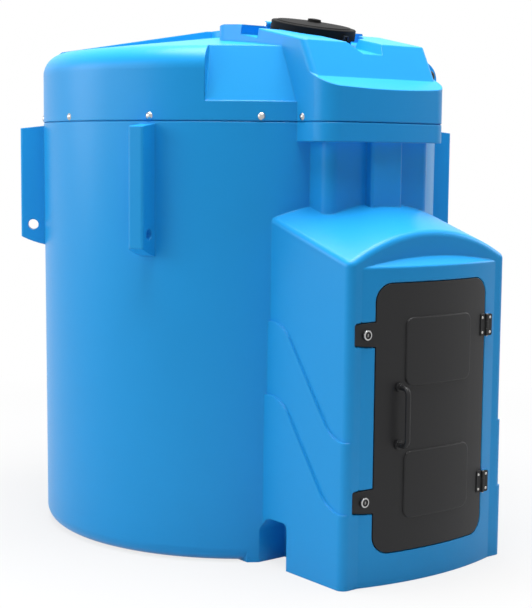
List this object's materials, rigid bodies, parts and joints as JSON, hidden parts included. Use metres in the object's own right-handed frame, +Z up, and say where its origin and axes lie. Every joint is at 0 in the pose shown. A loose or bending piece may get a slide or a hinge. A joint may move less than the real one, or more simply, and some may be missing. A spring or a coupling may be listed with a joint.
{
  "type": "diesel exhaust fluid tank",
  "caption": "Bunded upright round storage tank with a domed cover, hinged fill lid and a front dispensing cabinet with a hinged door.",
  "frame": {"origin": "on the barrel axis, on the ground under the bund", "axes": "+Z up along the barrel axis, -Y out of the front of the dispensing cabinet, +X to the right as seen from behind the cabinet looking along +Y"},
  "size_m": [1.5518, 2.0342, 1.9493],
  "materials": {
    "blue_moulding": "rotomoulded polyethylene, satin",
    "natural_moulding": "natural polyethylene, satin",
    "black_moulding": "moulded polyethylene, satin",
    "seal_rubber": "matt",
    "bright_steel": "stainless, satin",
    "dark_steel": "blackened",
    "hinge_black": "moulded, satin",
    "brushed_plate": "stainless sheet, brushed",
    "motor_paint": "enamel, satin",
    "pump_polymer": "moulded, matt",
    "pipe_steel": "stainless, satin",
    "lever_blue": "moulded grip",
    "cap_blue": "moulded",
    "control_grey": "moulded, fine texture",
    "lamp_green": "lens",
    "display_pane": "clear window over a grey display"
  },
  "bodies": {
    "tank": {"bund_body": "blue_moulding", "top_cover": "blue_moulding", "cover_bolts": "bright_steel", "cover_nuts": "bright_steel", "side_vent": "black_moulding", "vent_nut": "black_moulding", "inner_tank": "natural_moulding", "lid_seal": "seal_rubber", "lid_hinge_pin": "dark_steel", "lid_staple": "dark_steel", "hinge_frame_leaves": "hinge_black", "hinge_pins": "bright_steel", "hinge_frame_screws": "bright_steel", "equipment_plate": "brushed_plate", "plate_screws": "bright_steel", "pump_bracket": "brushed_plate", "pump_motor": "motor_paint", "pump_head": "pump_polymer", "suction_pipe": "pipe_steel", "suction_collar": "pump_polymer", "pump_inlet_pipe": "pipe_steel", "suction_valve": "pipe_steel", "delivery_pipe": "pipe_steel", "flow_meter": "pump_polymer", "meter_window": "display_pane", "hose_tail": "pipe_steel", "fill_riser": "pipe_steel", "fill_collar": "pump_polymer", "riser_clips": "pump_polymer", "fill_coupling": "pipe_steel", "control_box": "control_grey", "power_lamp": "lamp_green", "level_display": "pump_polymer", "display_glass": "display_pane", "level_probe": "pump_polymer", "nozzle_holster": "black_moulding", "drip_tray": "black_moulding"},
    "door": {"lock_bodies": "bright_steel", "lock_nuts": "bright_steel", "cabinet_door": "black_moulding", "door_handle": "black_moulding", "handle_screws": "bright_steel", "hinge_door_leaves": "hinge_black", "hinge_door_screws": "bright_steel"},
    "upper_cam": {"upper_lock": "dark_steel"},
    "lower_cam": {"lower_lock": "dark_steel"},
    "lid": {"fill_lid": "black_moulding"},
    "valve_handle": {"valve_lever": "lever_blue"},
    "fill_plug": {"fill_cap": "cap_blue"},
    "rocker": {"pump_switch": "black_moulding"},
    "reset": {"reset_button": "lever_blue"}
  },
  "joints": [
    {"name": "door_swing", "type": "hinge", "parent": "tank", "child": "door", "pos_m": [0.249, -1.11749, 0.573], "axis": [0, 0, 1], "range_deg": [0, 115]},
    {"name": "upper_lock_turn", "type": "hinge", "parent": "door", "child": "upper_cam", "pos_m": [-0.297, -1.08, 0.853], "axis": [0, -1, 0], "range_deg": [0, 90]},
    {"name": "lower_lock_turn", "type": "hinge", "parent": "door", "child": "lower_cam", "pos_m": [-0.297, -1.08, 0.293], "axis": [0, -1, 0], "range_deg": [0, 90]},
    {"name": "lid_swing", "type": "hinge", "parent": "tank", "child": "lid", "pos_m": [0, -0.27672, 1.92486], "axis": [-1, 0, 0], "range_deg": [0, 100]},
    {"name": "valve_turn", "type": "hinge", "parent": "tank", "child": "valve_handle", "pos_m": [-0.12, -0.935, 0.885], "axis": [0, 1, 0], "range_deg": [0, 90]},
    {"name": "cap_turn", "type": "hinge", "parent": "tank", "child": "fill_plug", "pos_m": [0.195, -0.97, 0.33], "axis": [0, -1, 0], "range_deg": [0, 90]},
    {"name": "switch_rock", "type": "hinge", "parent": "tank", "child": "rocker", "pos_m": [-0.2, -0.873, 0.843], "axis": [1, 0, 0], "range_deg": [-8, 8]},
    {"name": "reset_press", "type": "slide", "parent": "tank", "child": "reset", "axis": [0, 1, 0], "range_m": [0, 0.003], "stiffness_N_per_m": 400}
  ]
}
